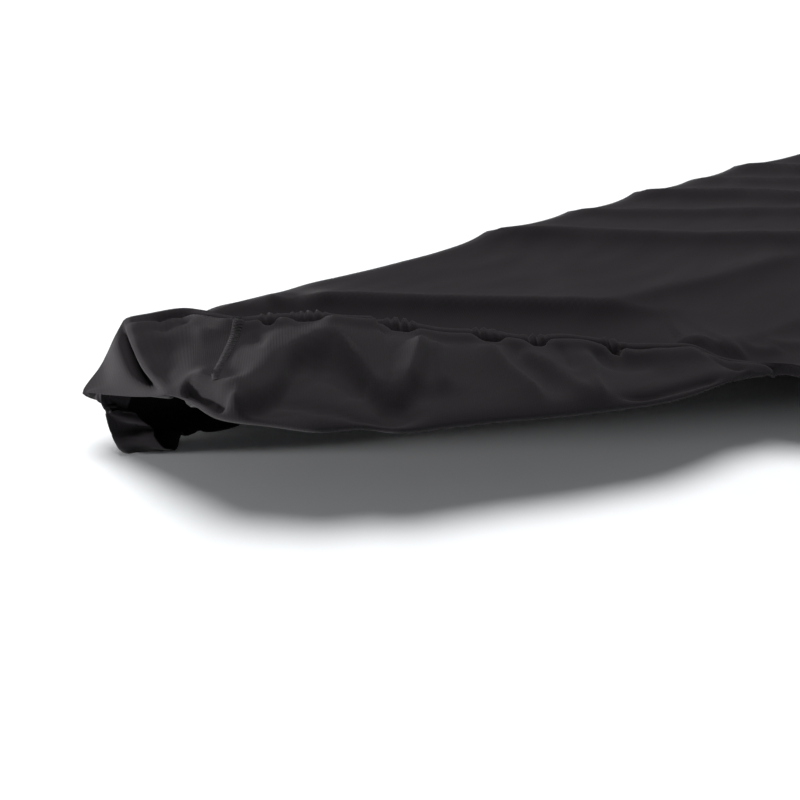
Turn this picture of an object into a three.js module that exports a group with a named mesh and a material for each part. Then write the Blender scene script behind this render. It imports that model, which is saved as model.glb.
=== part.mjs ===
// Keyboard dust cover: one cut of stretch cloth with four sewn corners and an elastic hem.
// The front left corner is pulled up, so the skirt there lies on the top panel as a turned-back flap.
// Millimetres, +Z up. Places are from_left, from_front and height, measured from the lower front left
// corner of the space that the cover fits. A group then shifts them to the row's own origin.
import * as THREE from 'three';

// Driving sizes of the space inside the cover.
const LENGTH = 936;
const DEPTH = 290;
const FRONT_HEIGHT = 47.5;
const BACK_HEIGHT = 75;
const TOP_CROWN = 2;

// The cloth and how it hangs.
const CLOTH_THICKNESS = 2;
const CLEARANCE = 3;
const SHOULDER = 14;
const SKIRT_LOWEST = -5;
const HEM_TUCK = 38;
const FOLD_MARGIN = 26;
const FOLD_TURN = 4;
const FOLD_FADE = 45;
const BEND_REACH = 9;
const FLAP_GAP = 4.5;
const FLAP_ABOVE = [3, 9];
const NARROW_FLAP = 45;
const CORNER_OUT = 0.8;

// Shares of the loft that round a turned-up section, and the places along its flap that the bulge lifts.
const SAG_SHARE = 0.22;
const UNDER_SHARE = 0.38;
const OVER_SHARE = 0.42;
const NEAR_PLACE = 0.36;
const FAR_PLACE = 0.74;
const FAR_SHARE = 0.8;

// How finely the sheet is divided: along the flap, along the rest of the front, along an end, and
// between the eight points of a section.
const FLAP_STEPS = 36;
const PLAIN_STEPS = 20;
const FRONT_STEPS = FLAP_STEPS + PLAIN_STEPS;
const POUCH_STEPS = 5;
const TURNED_STEPS = 7;
const END_STEPS = POUCH_STEPS + TURNED_STEPS;
const SECTION_STEPS = [1, 2, 1, 2, 3, 3, 3];
const RAIL_STEPS = 12;

// Which of the eight points are the fold and the hem, and how many steps the panel's folds fade over.
const FOLD_POINT = 3;
const HEM_POINT = 7;
const FADE_STEPS = 4;

const table = (columns, rows) => rows.map(
  (row) => Object.fromEntries(columns.map((column, index) => [column, row[index]])),
);

// Sections across the turned-back flap, from the corner seam to where the fold runs out at the front.
// The fold is where the cloth turns over, loft its roundness, lift the height of the flap's middle.
const FLAP_SECTIONS = table(
  ['foldLeft', 'foldFront', 'hemLeft', 'hemFront', 'loft', 'lift', 'hemLift'],
  [
    [15, 160, 78, 257, 13, 16, 9],
    [42, 136, 99, 250, 11, 15, 8],
    [68, 115, 130, 233, 10, 15, 9],
    [93, 105, 152, 217, 10, 15, 8],
    [115, 89, 182, 200, 10, 15, 8],
    [148, 78, 206, 174, 10, 14, 9],
    [184, 66, 232, 159, 10, 13, 8],
    [219, 53, 257, 137, 10, 12, 8],
    [260, 40, 285, 124, 10, 11, 8],
    [293, 31, 313, 98, 10, 11, 8],
    [315, 28, 340, 82, 9, 10, 8],
    [350, 27, 363, 73, 9, 10, 9],
    [367, 25, 373, 52, 9, 9, 8],
    [388, 19, 390, 36, 9, 9, 9],
  ],
);

// Sections where the fold runs out: the hem stands up, tips over and slips down the front.
const FRONT_RUNOUT = table(
  ['fromLeft', 'edgeFront', 'bendFront', 'bendHeight', 'hemFront', 'hemHeight'],
  [
    [405, 46, 17, 50, 12, 64],
    [424, 44, 14, 50, -4, 51],
    [452, 34, -1, 47, -4, 28],
    [484, 22, -3, 45, -4, 8],
    [518, 14, -4, 20, 10, -6],
  ],
);

// Sections round the left end, from behind the corner seam to the back corner. The first ones are
// turned up and end in a tip that stands out to the left. The last ones hang as a loose pouch.
const LEFT_SECTIONS = table(
  ['edgeLeft', 'edgeFront', 'foldLeft', 'foldFront', 'foldHeight', 'hemLeft', 'hemFront', 'hemHeight',
    'loft', 'bulge'],
  [
    [22, 200, 6, 182, 73, 54, 291, 82, 10, 10],
    [15, 213, -1, 201, 70, 26, 299, 82, 8, 8],
    [11, 226, -15, 226, 64, 3, 296, 80, 7, 5],
    [9, 237, -30, 243, 61, -18, 284, 72, 10, 3],
    [8, 247, -31, 252, 60, -46, 258, 58, 0, 0],
    [8, 256, -28, 270, 44, -26, 246, 48, 0, 0],
    [8, 264, -32, 278, 24, -12, 238, 34, 0, 0],
    [9, 271, -27, 268, -7, 3, 236, 1, 0, 0],
  ],
);

// Where the skirt hangs plainly round the rest: places along the front, the right end and the back.
const HANGING_FRONT = [570, 650, 730, 810, 880];
const HANGING_END = [56, 100, 145, 190, 234];
const HANGING_BACK = [880, 810, 720, 630, 540, 450, 360, 270, 180, 110, 56];

// Outline of a hanging section after its edge: how far out, the share of the drop, and how far below that.
const HANGING_OUTLINE = table(
  ['out', 'dropShare', 'below'],
  [
    [-CLEARANCE, 0, 0.5],
    [CLEARANCE - 0.5, 0, 8],
    [CLEARANCE, 0.35, 0],
    [CLEARANCE, 0.62, 0],
    [CLEARANCE - 0.5, 1, -9],
    [-8, 1, 0],
    [-HEM_TUCK, 1, 1],
  ],
);

// Soft folds of the top panel. Each runs from one end to the other, steep in front and gentle behind.
const PANEL_FOLDS = table(
  ['startLeft', 'startFront', 'endLeft', 'endFront', 'rise', 'frontWidth', 'backWidth'],
  [
    [50, 297, 130, 262, 6, 11, 15],
    [100, 276, 390, 113, 12, 14, 30],
    [318, 297, 600, 131, 9, 14, 28],
    [440, 276, 660, 168, 4, 14, 22],
    [480, 299, 700, 174, 7, 14, 22],
    [540, 308, 700, 220, 3, 14, 18],
    [610, 302, 770, 204, 7, 15, 24],
    [700, 316, 860, 232, 5, 18, 26],
    [300, 144, 800, 124, 6, 14, 40],
    [385, 62, 780, 58, 3, 14, 26],
  ],
);

// Folds of the flap: ridges rise and hollows sink, between the fold and the hem.
const FLAP_FOLDS = table(
  ['startLeft', 'startFront', 'endLeft', 'endFront', 'rise', 'frontWidth', 'backWidth'],
  [
    [31, 152, 122, 186, 7, 13, 20],
    [124, 187, 125, 122, 6, 13, 15],
    [130, 116, 180, 156, 6, 13, 15],
    [44, 147, 100, 160, -6, 13, 14],
    [108, 158, 112, 118, -6, 13, 13],
    [187, 167, 116, 95, 3, 13, 13],
    [201, 140, 208, 60, 5, 13, 13],
    [258, 116, 245, 50, 5, 13, 13],
    [296, 104, 300, 74, -5, 14, 14],
  ],
);

// Cloth colour: a charcoal stretch knit, matt with hardly any shine.
const CHARCOAL_KNIT = { color: 0x37333a, roughness: 0.92, metalness: 0 };

const UP = new THREE.Vector3(0, 0, 1);
const place = (fromLeft, fromFront, height) => new THREE.Vector3(fromLeft, fromFront, height);
const smooth = (low, high, value) => THREE.MathUtils.smoothstep(value, low, high);

// Height of the taut top panel, low at the front and high at the back.
function topHeight(fromFront) {
  const share = fromFront / DEPTH;
  const slope = FRONT_HEIGHT + (BACK_HEIGHT - FRONT_HEIGHT) * share;
  return slope + TOP_CROWN * 4 * share * (1 - share);
}

const onTop = (fromLeft, fromFront, above = 0) => place(fromLeft, fromFront, topHeight(fromFront) + above);

// Rise of a set of folds at one place: round across each fold, fading out towards its ends.
function foldRise(folds, fromLeft, fromFront) {
  let total = 0;
  for (const fold of folds) {
    const length = Math.hypot(fold.endLeft - fold.startLeft, fold.endFront - fold.startFront);
    const runLeft = (fold.endLeft - fold.startLeft) / length;
    const runFront = (fold.endFront - fold.startFront) / length;
    const left = fromLeft - fold.startLeft;
    const front = fromFront - fold.startFront;
    const along = left * runLeft + front * runFront;
    const across = front * runLeft - left * runFront;
    const width = across < 0 ? fold.frontWidth : fold.backWidth;
    const fade = Math.min(length / 3, FOLD_FADE);
    const ends = smooth(-fade / 2, fade, along) * (1 - smooth(length - fade, length + fade / 2, along));
    total += fold.rise * ends * Math.exp(-((across / width) ** 2));
  }
  return total;
}

// As many points as a section has, spaced evenly along a smooth path.
function evenPoints(waypoints) {
  const path = new THREE.CatmullRomCurve3(waypoints, false, 'centripetal');
  return path.getSpacedPoints(SECTION_STEPS.length);
}

// Points of a turned-up section: under layer, round fold, then the flap out to its hem.
// Where the flap is narrow they are spaced evenly, so that it can run out to nothing.
function turnedSection(edge, fold, hem, loft, bulge) {
  const toEdge = edge.clone().sub(fold).normalize();
  const toHem = hem.clone().sub(fold).normalize();
  const raised = (point, amount) => point.addScaledVector(UP, amount);
  const points = [
    edge,
    raised(edge.clone().lerp(fold, 0.5), -SAG_SHARE * loft),
    raised(fold.clone().addScaledVector(toEdge, FOLD_TURN), -UNDER_SHARE * loft),
    fold,
    raised(fold.clone().addScaledVector(toHem, FOLD_TURN), OVER_SHARE * loft),
    raised(fold.clone().lerp(hem, NEAR_PLACE), bulge),
    raised(fold.clone().lerp(hem, FAR_PLACE), FAR_SHARE * bulge),
    hem,
  ];
  return fold.distanceTo(hem) < NARROW_FLAP ? evenPoints(points) : points;
}

// A section of the flap that lies on the top panel.
function flapSection(row) {
  const run = place(row.hemLeft - row.foldLeft, row.hemFront - row.foldFront, 0).normalize();
  const edge = onTop(row.foldLeft + FOLD_MARGIN * run.x, row.foldFront + FOLD_MARGIN * run.y);
  const fold = onTop(row.foldLeft, row.foldFront, row.loft / 2);
  const hem = onTop(row.hemLeft, row.hemFront, row.hemLift);
  return turnedSection(edge, fold, hem, row.loft, row.lift - (row.hemLift + row.loft) / 2);
}

// Points of a section that isn't turned up, from the edge round a soft bend and on to the hem.
function bentSection(edge, bend, hem) {
  const beforeBend = bend.clone().addScaledVector(edge.clone().sub(bend).normalize(), BEND_REACH);
  const afterBend = bend.clone().addScaledVector(hem.clone().sub(bend).normalize(), BEND_REACH);
  return evenPoints([edge, beforeBend, afterBend, hem]);
}

// A section of the left end, with its own edge and heights. Where it has no loft it isn't turned up.
function leftSection(row) {
  const edge = onTop(row.edgeLeft, row.edgeFront);
  const fold = place(row.foldLeft, row.foldFront, row.foldHeight);
  const hem = place(row.hemLeft, row.hemFront, row.hemHeight);
  if (row.loft > 0) return turnedSection(edge, fold, hem, row.loft, row.bulge);
  return bentSection(edge, fold, hem);
}

// A section that hangs: over the shoulder, down the side and under to the hem.
// The outward direction has a part to the left or right and a part to the front or back.
function hangingSection(fromLeft, fromFront, outLeft, outFront) {
  const top = topHeight(fromFront);
  const drop = top - SKIRT_LOWEST;
  const at = (out, height) => place(fromLeft + out * outLeft, fromFront + out * outFront, height);
  const edge = at(-SHOULDER, 0);
  edge.z = topHeight(edge.y);
  return [edge, ...HANGING_OUTLINE.map((row) => at(row.out, top - row.dropShare * drop - row.below))];
}

// A section where the fold has run out and the hem is on its way down the front.
function runoutSection(row) {
  const edge = onTop(row.fromLeft, row.edgeFront);
  const bend = place(row.fromLeft, row.bendFront, row.bendHeight);
  const hem = place(row.fromLeft, row.hemFront, row.hemHeight);
  return bentSection(edge, bend, hem);
}

// All sections in order round the cover, counter-clockwise from the front left seam.
const frontSections = [
  ...FLAP_SECTIONS.map(flapSection),
  ...FRONT_RUNOUT.map(runoutSection),
  ...HANGING_FRONT.map((fromLeft) => hangingSection(fromLeft, 0, 0, -1)),
];
const rightSections = [
  hangingSection(LENGTH, 0, CORNER_OUT, -CORNER_OUT),
  ...HANGING_END.map((fromFront) => hangingSection(LENGTH, fromFront, 1, 0)),
];
const backSections = [
  hangingSection(LENGTH, DEPTH, CORNER_OUT, CORNER_OUT),
  ...HANGING_BACK.map((fromLeft) => hangingSection(fromLeft, DEPTH, 0, 1)),
];
const leftSections = [
  hangingSection(0, DEPTH, -CORNER_OUT, CORNER_OUT),
  ...LEFT_SECTIONS.map(leftSection).reverse(),
];
const sections = [...frontSections, ...rightSections, ...backSections, ...leftSections];
const rails = sections[0].map(
  (_, index) => new THREE.CatmullRomCurve3(sections.map((section) => section[index]), true, 'centripetal'),
);

// Stations spread evenly between two sections, by the way round at the fold and at the hem.
function spread(firstSection, sectionCount, steps) {
  const fine = RAIL_STEPS * sectionCount;
  const foldRail = rails[FOLD_POINT];
  const hemRail = rails[HEM_POINT];
  const travelled = [0];
  const at = (step) => (firstSection + step / RAIL_STEPS) / sections.length;
  for (let step = 1; step <= fine; step += 1) {
    const foldStep = foldRail.getPoint(at(step) % 1).distanceTo(foldRail.getPoint(at(step - 1)));
    const hemStep = hemRail.getPoint(at(step) % 1).distanceTo(hemRail.getPoint(at(step - 1)));
    travelled.push(travelled[step - 1] + foldStep + hemStep);
  }
  const stations = [];
  for (let station = 0; station < steps; station += 1) {
    const wanted = (travelled[fine] * station) / steps;
    const step = travelled.findIndex((distance) => distance > wanted) - 1;
    const part = (wanted - travelled[step]) / (travelled[step + 1] - travelled[step]);
    stations.push(at(step + part));
  }
  return stations;
}

const rightStart = frontSections.length;
const backStart = rightStart + rightSections.length;
const leftStart = backStart + backSections.length;
const pouchSections = LEFT_SECTIONS.filter((row) => row.loft === 0).length;
const stations = [
  ...spread(0, frontSections.length - HANGING_FRONT.length, FLAP_STEPS),
  ...spread(frontSections.length - HANGING_FRONT.length, HANGING_FRONT.length, PLAIN_STEPS),
  ...spread(rightStart, rightSections.length, END_STEPS),
  ...spread(backStart, backSections.length, FRONT_STEPS),
  ...spread(leftStart, pouchSections, POUCH_STEPS),
  ...spread(leftStart + pouchSections, leftSections.length - pouchSections, TURNED_STEPS),
];

// One section's points, with the panel's folds fading over the shoulder and the flap's folds added.
function stationPoints(station) {
  const controls = rails.map((rail) => rail.getPoint(station));
  controls[0].z = topHeight(controls[0].y);
  const curve = new THREE.CatmullRomCurve3(controls, false, 'centripetal');
  const points = [controls[0].clone()];
  SECTION_STEPS.forEach((steps, span) => {
    for (let step = 1; step <= steps; step += 1) {
      points.push(curve.getPoint((span + step / steps) / SECTION_STEPS.length));
    }
  });
  points.forEach((point, index) => {
    const above = point.z - topHeight(point.y);
    const panelShare = 1 - smooth(0, FADE_STEPS, index);
    point.z += panelShare * foldRise(PANEL_FOLDS, point.x, point.y);
    const flapShare = index > FADE_STEPS ? smooth(...FLAP_ABOVE, above) : 0;
    if (flapShare > 0) {
      const lowest = Math.min(point.z, topHeight(point.y) + FLAP_GAP);
      point.z = Math.max(lowest, point.z + flapShare * foldRise(FLAP_FOLDS, point.x, point.y));
    }
  });
  return points;
}

// The sheet's middle surface: the skirt's sections, and the top panel blended from its four edges.
const stationCount = stations.length;
const sectionPoints = SECTION_STEPS.reduce((sum, steps) => sum + steps, 1);
const skirt = stations.map(stationPoints);
const vertices = skirt.flat();
const skirtIndex = (station, point) => (station % stationCount) * sectionPoints + point;

const edgeAt = (station) => skirt[station % stationCount][0];
const frontEdge = (column) => edgeAt(column);
const rightEdge = (row) => edgeAt(FRONT_STEPS + row);
const backEdge = (column) => edgeAt(2 * FRONT_STEPS + END_STEPS - column);
const leftEdge = (row) => edgeAt(2 * FRONT_STEPS + 2 * END_STEPS - row);

function panelPoint(column, row) {
  const across = column / FRONT_STEPS;
  const back = row / END_STEPS;
  const blend = (axis) => {
    const lengthwise = (1 - back) * frontEdge(column)[axis] + back * backEdge(column)[axis];
    const crosswise = (1 - across) * leftEdge(row)[axis] + across * rightEdge(row)[axis];
    const corners = (1 - across) * ((1 - back) * frontEdge(0)[axis] + back * backEdge(0)[axis])
      + across * ((1 - back) * frontEdge(FRONT_STEPS)[axis] + back * backEdge(FRONT_STEPS)[axis]);
    return lengthwise + crosswise - corners;
  };
  const point = onTop(blend('x'), blend('y'));
  point.z += foldRise(PANEL_FOLDS, point.x, point.y);
  return point;
}

const panelStart = vertices.length;
for (let column = 1; column < FRONT_STEPS; column += 1) {
  for (let row = 1; row < END_STEPS; row += 1) {
    vertices.push(panelPoint(column, row));
  }
}

function panelIndex(column, row) {
  if (row === 0) return skirtIndex(column, 0);
  if (column === FRONT_STEPS) return skirtIndex(FRONT_STEPS + row, 0);
  if (row === END_STEPS) return skirtIndex(2 * FRONT_STEPS + END_STEPS - column, 0);
  if (column === 0) return skirtIndex(2 * FRONT_STEPS + 2 * END_STEPS - row, 0);
  return panelStart + (column - 1) * (END_STEPS - 1) + row - 1;
}

const triangles = [];
for (let column = 0; column < FRONT_STEPS; column += 1) {
  for (let row = 0; row < END_STEPS; row += 1) {
    const near = panelIndex(column, row);
    const right = panelIndex(column + 1, row);
    const far = panelIndex(column + 1, row + 1);
    const left = panelIndex(column, row + 1);
    triangles.push([near, right, left], [right, far, left]);
  }
}
for (let station = 0; station < stationCount; station += 1) {
  for (let point = 0; point < sectionPoints - 1; point += 1) {
    const inner = skirtIndex(station, point);
    const outer = skirtIndex(station, point + 1);
    const nextOuter = skirtIndex(station + 1, point + 1);
    const nextInner = skirtIndex(station + 1, point);
    triangles.push([inner, outer, nextOuter], [inner, nextOuter, nextInner]);
  }
}

// Two faces of cloth, half the thickness to each side of the middle surface, joined along the hem.
function clothGeometry() {
  const middle = new THREE.BufferGeometry().setFromPoints(vertices);
  middle.setIndex(triangles.flat());
  middle.computeVertexNormals();
  const normals = middle.getAttribute('normal');
  const normal = new THREE.Vector3();
  const layer = (offset) => vertices.map((vertex, index) => {
    normal.fromBufferAttribute(normals, index);
    return vertex.clone().addScaledVector(normal, offset);
  });
  const count = vertices.length;
  const faces = triangles.flat();
  for (const [first, second, third] of triangles) {
    faces.push(count + first, count + third, count + second);
  }
  for (let station = 0; station < stationCount; station += 1) {
    const here = skirtIndex(station, sectionPoints - 1);
    const next = skirtIndex(station + 1, sectionPoints - 1);
    faces.push(next, here, count + here, next, count + here, count + next);
  }
  const outside = layer(CLOTH_THICKNESS / 2);
  const inside = layer(-CLOTH_THICKNESS / 2);
  const geometry = new THREE.BufferGeometry().setFromPoints([...outside, ...inside]);
  geometry.setIndex(faces);
  geometry.computeVertexNormals();
  return geometry;
}

// The row's origin is under the cloth, at the middle of the top, where the cover is held up.
const HOLD = onTop(LENGTH / 2, DEPTH / 2, -CLOTH_THICKNESS / 2);
const coverCloth = new THREE.Mesh(clothGeometry(), new THREE.MeshStandardMaterial(CHARCOAL_KNIT));
coverCloth.name = 'cover_cloth';
coverCloth.position.copy(HOLD).negate();

const dustCover = new THREE.Group();
dustCover.add(coverCloth);

export default dustCover;
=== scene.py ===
# %% [markdown]
# # A fitted dust cover in stretch knit
# A fitted dust cover is one cut of dark knitted cloth with four sewn corners and an elastic hem. It is
# drawn on from above, and here its front left corner has been turned back over the top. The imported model
# gives the sizes and the place, and this script builds the cloth on the same sections.

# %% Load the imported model
from collections import namedtuple

import bpy
import numpy as np
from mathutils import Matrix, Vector, noise
from mathutils.bvhtree import BVHTree


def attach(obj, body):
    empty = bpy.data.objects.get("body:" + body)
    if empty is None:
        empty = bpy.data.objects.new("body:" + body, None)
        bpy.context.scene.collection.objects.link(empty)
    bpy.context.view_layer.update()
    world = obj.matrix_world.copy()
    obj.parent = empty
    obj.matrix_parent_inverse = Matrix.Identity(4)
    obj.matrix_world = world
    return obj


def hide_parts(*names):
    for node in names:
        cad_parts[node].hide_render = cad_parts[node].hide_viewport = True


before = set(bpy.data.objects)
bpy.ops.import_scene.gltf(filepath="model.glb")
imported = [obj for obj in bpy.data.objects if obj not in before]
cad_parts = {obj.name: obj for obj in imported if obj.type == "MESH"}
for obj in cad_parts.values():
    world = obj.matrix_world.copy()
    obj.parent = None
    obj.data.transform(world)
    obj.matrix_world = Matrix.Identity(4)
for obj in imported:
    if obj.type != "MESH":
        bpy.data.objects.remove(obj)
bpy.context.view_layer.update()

# %% [markdown]
# ## One set of places
# Every place below is in millimetres, as from_left, from_front and height, measured from the lower front
# left corner of the space that the cover fits. That is how such a cover is measured for cutting. The
# model's own origin is under the cloth, at the middle of the top.

# %% Sizes of the space the cover fits
LENGTH = 936
DEPTH = 290
FRONT_HEIGHT = 47.5
BACK_HEIGHT = 75
TOP_CROWN = 2
ORIGIN_HEIGHT = 62.25
ORIGIN = np.array([LENGTH / 2, DEPTH / 2, ORIGIN_HEIGHT])
MM_PER_M = 1000


def to_frame(points):
    """Millimetre places as metres in the model's frame."""
    return (np.asarray(points, float) - ORIGIN) / MM_PER_M


def top_height(from_front):
    """Height of the taut top, low in front and high behind."""
    share = from_front / DEPTH
    return FRONT_HEIGHT + (BACK_HEIGHT - FRONT_HEIGHT) * share + TOP_CROWN * 4 * share * (1 - share)


def on_top(from_left, from_front, above=0):
    """A place on the top, or a little above it."""
    return np.array([from_left, from_front, top_height(from_front) + above])


print("top height in front, in the middle and behind:", [top_height(v) for v in (0, DEPTH / 2, DEPTH)])

# %% [markdown]
# ## Sections across the cloth
# A cover like this is easiest to describe by sections from its top edge out to its hem. Along the flap
# each section runs under, turns over at the fold and comes back over the top. Where the cover is still
# on, it goes over the shoulder, down the side and under. The tables hold one row for each section.

# %% Tables of sections
FlapRow = namedtuple("FlapRow", "fold_left fold_front hem_left hem_front loft lift hem_lift")
FLAP_ROWS = [
    FlapRow(15, 160, 78, 257, 13, 12, 9),
    FlapRow(42, 136, 99, 250, 11, 14, 8),
    FlapRow(68, 115, 130, 233, 10, 15, 9),
    FlapRow(93, 105, 152, 217, 10, 15, 8),
    FlapRow(115, 89, 182, 200, 10, 15, 8),
    FlapRow(148, 78, 206, 174, 10, 14, 9),
    FlapRow(184, 66, 232, 159, 10, 13, 8),
    FlapRow(219, 53, 257, 137, 10, 12, 8),
    FlapRow(260, 40, 285, 124, 10, 11, 8),
    FlapRow(293, 31, 313, 98, 10, 11, 8),
    FlapRow(315, 28, 340, 82, 9, 10, 8),
    FlapRow(350, 27, 363, 73, 9, 10, 5),
    FlapRow(367, 25, 373, 52, 8, 8, 4),
    FlapRow(388, 19, 390, 36, 5, 6, 4),
]
RunoutRow = namedtuple("RunoutRow", "from_left edge_front bend_front bend_height hem_front hem_height")
RUNOUT_ROWS = [
    RunoutRow(405, 46, 17, 50, 11, 61),
    RunoutRow(424, 44, 14, 50, -4, 50),
    RunoutRow(452, 34, -1, 47, -4, 28),
    RunoutRow(484, 22, -3, 45, -4, 8),
    RunoutRow(518, 14, -4, 20, 10, -6),
]
LeftRow = namedtuple("LeftRow", "edge_left edge_front fold hem loft bulge bow sag")
LEFT_ROWS = [
    LeftRow(21, 203, (8, 178, 72.5), (54, 291, 82), 9, 3, 0, 0),
    LeftRow(16, 212, (3, 194, 71.5), (24, 299, 82.5), 6, 2, -2, 0),
    LeftRow(14, 216, (-2, 203, 70.5), (7, 299, 83), 4, 2, -6, 2),
    LeftRow(17, 219, (-4, 211, 66), (3, 298, 80), 1, -11, 3, 9),
    LeftRow(16, 227, (-12, 234, 56), (-4, 295, 73), 1, 5, -2, 10),
    LeftRow(15, 238, (-24, 266, 45), (-16, 297, 53), 1, 0, 0, 9),
    LeftRow(14, 247, (-33, 286, 39), (-36, 289, 38), 0.5, 0, 0, 6),
    LeftRow(13, 250, (-31, 285, 36), (-33, 287, 35), 0.5, 0, 0, 6),
    LeftRow(12, 256, (-27, 279, 36), (-14, 268, 28), 0, 0, 0, 10),
    LeftRow(11, 264, (-32, 278, 22), (-1, 258, 17), 0, 0, 0, 8),
    LeftRow(10, 271, (-27, 268, -7), (6, 242, -3), 0, 0, 0, 4),
]
HANGING_FRONT = [570, 650, 730, 810, 880]
HANGING_END = [56, 100, 145, 190, 234]
HANGING_BACK = [880, 810, 720, 630, 540, 450, 360, 270, 180, 110, 56]
CLEARANCE = 3
SHOULDER = 14
SKIRT_LOWEST = -5
HEM_TUCK = 38
CORNER_OUT = 0.8
HangingRow = namedtuple("HangingRow", "out drop_share below")
HANGING_ROWS = [
    HangingRow(-CLEARANCE, 0, 0.5),
    HangingRow(CLEARANCE - 0.5, 0, 8),
    HangingRow(CLEARANCE, 0.35, 0),
    HangingRow(CLEARANCE, 0.62, 0),
    HangingRow(CLEARANCE - 0.5, 1, -9),
    HangingRow(-8, 1, 0),
    HangingRow(-HEM_TUCK, 1, 1),
]
print(len(FLAP_ROWS), "sections of flap,", len(RUNOUT_ROWS), "of run-out and",
      len(LEFT_ROWS), "at the left end")

# %% [markdown]
# ## Smooth curves through the sections
# Cloth bends evenly between the places that hold it. A centripetal Catmull-Rom curve does the same: it
# goes through each point and doesn't loop where two points lie close. The same curve joins the points of
# one section and, as a rail, the same point of all sections.

# %% Curves
SECTION_POINTS = 8
FINE_PLACES = 201
TINY = 1e-6


def bend_between(before, start, end, after, share):
    """Place at a share of the way from start to end, on the smooth curve through all four points."""
    def knot(first, second):
        return np.maximum(np.linalg.norm(second - first, axis=-1, keepdims=True), TINY) ** 0.5

    gap_before, gap, gap_after = knot(before, start), knot(start, end), knot(end, after)
    leave = ((start - before) / gap_before - (end - before) / (gap_before + gap)
             + (end - start) / gap) * gap
    arrive = ((end - start) / gap - (after - start) / (gap + gap_after)
              + (after - end) / gap_after) * gap
    square = -3 * start + 3 * end - 2 * leave - arrive
    cube = 2 * start - 2 * end + leave + arrive
    return start + share * (leave + share * (square + share * cube))


def curve_through(points, places, closed=False):
    """Points of a smooth curve at places that are counted in points along it."""
    points = np.asarray(points, float)
    count = len(points)
    found = []
    for place in places:
        start = int(place) if closed else min(int(place), count - 2)
        if closed:
            four = [points[(start + step) % count] for step in (-1, 0, 1, 2)]
        else:
            before = points[start - 1] if start > 0 else 2 * points[0] - points[1]
            after = points[start + 2] if start + 2 < count else 2 * points[-1] - points[-2]
            four = [before, points[start], points[start + 1], after]
        found.append(bend_between(*four, place - start))
    return np.array(found)


def lengths_along(points):
    """Distance travelled at each point of a path."""
    steps = np.linalg.norm(np.diff(points, axis=0), axis=-1)
    return np.concatenate([[0], np.cumsum(steps)])


def even_points(waypoints, count=SECTION_POINTS):
    """Points spaced evenly along a smooth curve."""
    fine = np.linspace(0, len(waypoints) - 1, FINE_PLACES)
    travelled = lengths_along(curve_through(waypoints, fine))
    wanted = np.linspace(0, travelled[-1], count)
    return curve_through(waypoints, np.interp(wanted, travelled, fine))


print("a section has", SECTION_POINTS, "points")

# %% [markdown]
# ## Rows into sections
# Each kind of row becomes eight points from the edge of the top panel to the hem. A turned-up section
# sags under, rounds over at the fold and bulges before its hem, because a knit never folds flat. A
# section that isn't turned up takes one soft bend.

# %% Turned and bent sections
FOLD_TURN = 4
TURN_SHARE = 0.3
BEND_REACH = 9
SAG_PLACE = 0.4
SAG_SHARE, UNDER_SHARE, OVER_SHARE = 0.22, 0.38, 0.42
NEAR_PLACE, FAR_PLACE, FAR_SHARE = 0.36, 0.74, 0.8


def unit(vector):
    """The same heading with a length of one."""
    return vector / np.linalg.norm(vector)


def turned_section(edge, fold, hem, loft, bulge, bow=0, sag=0):
    """Under layer, round fold and flap out to its hem. A bulge lifts the flap, a bow pushes it aside."""
    def raised(point, amount, aside=0):
        return point + np.array([aside, 0, amount])

    turn = min(FOLD_TURN, TURN_SHARE * np.linalg.norm(hem - fold))
    return np.array([
        edge,
        raised((edge + fold) / 2, -SAG_SHARE * loft - sag),
        raised(fold + turn * unit(edge - fold), -UNDER_SHARE * loft),
        fold,
        raised(fold + turn * unit(hem - fold), OVER_SHARE * loft),
        raised(fold + NEAR_PLACE * (hem - fold), bulge, bow),
        raised(fold + FAR_PLACE * (hem - fold), FAR_SHARE * bulge, FAR_SHARE * bow),
        hem,
    ])


def bent_section(edge, bend, hem, sag=0):
    """Out to one soft bend and on to the hem. Loose cloth sags on the way to the bend."""
    before = bend + BEND_REACH * unit(edge - bend)
    after = bend + BEND_REACH * unit(hem - bend)
    sagging = (1 - SAG_PLACE) * edge + SAG_PLACE * bend - np.array([0, 0, sag])
    return even_points([edge, sagging, before, after, hem] if sag else [edge, before, after, hem])


print("a fold turns within", FOLD_TURN, "mm and a soft bend within", BEND_REACH, "mm on each side")

# %% [markdown]
# ## Sections all the way round
# The sections go round the cover from the front left corner seam: along the flap, where it runs out, along
# the front that still hangs, and on round the right end, the back and the left end. At a corner the section
# stands out at a slant, a little inside a square corner, which rounds the cloth there.

# %% Sections round the cover
FOLD_MARGIN = 26
NARROW_FLAP = 45


def flap_section(row):
    run = unit(np.array([row.hem_left - row.fold_left, row.hem_front - row.fold_front]))
    edge = on_top(row.fold_left + FOLD_MARGIN * run[0], row.fold_front + FOLD_MARGIN * run[1])
    fold = on_top(row.fold_left, row.fold_front, row.loft / 2)
    hem = on_top(row.hem_left, row.hem_front, row.hem_lift)
    points = turned_section(edge, fold, hem, row.loft, row.lift - (row.hem_lift + row.loft) / 2)
    return even_points(points) if np.linalg.norm(hem - fold) < NARROW_FLAP else points


def runout_section(row):
    edge = on_top(row.from_left, row.edge_front)
    bend = np.array([row.from_left, row.bend_front, row.bend_height], float)
    return bent_section(edge, bend, np.array([row.from_left, row.hem_front, row.hem_height], float))


def left_section(row):
    edge = on_top(row.edge_left, row.edge_front)
    fold, hem = np.array(row.fold, float), np.array(row.hem, float)
    if row.loft == 0:
        return bent_section(edge, fold, hem, row.sag)
    return turned_section(edge, fold, hem, row.loft, row.bulge, row.bow, row.sag)


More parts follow.
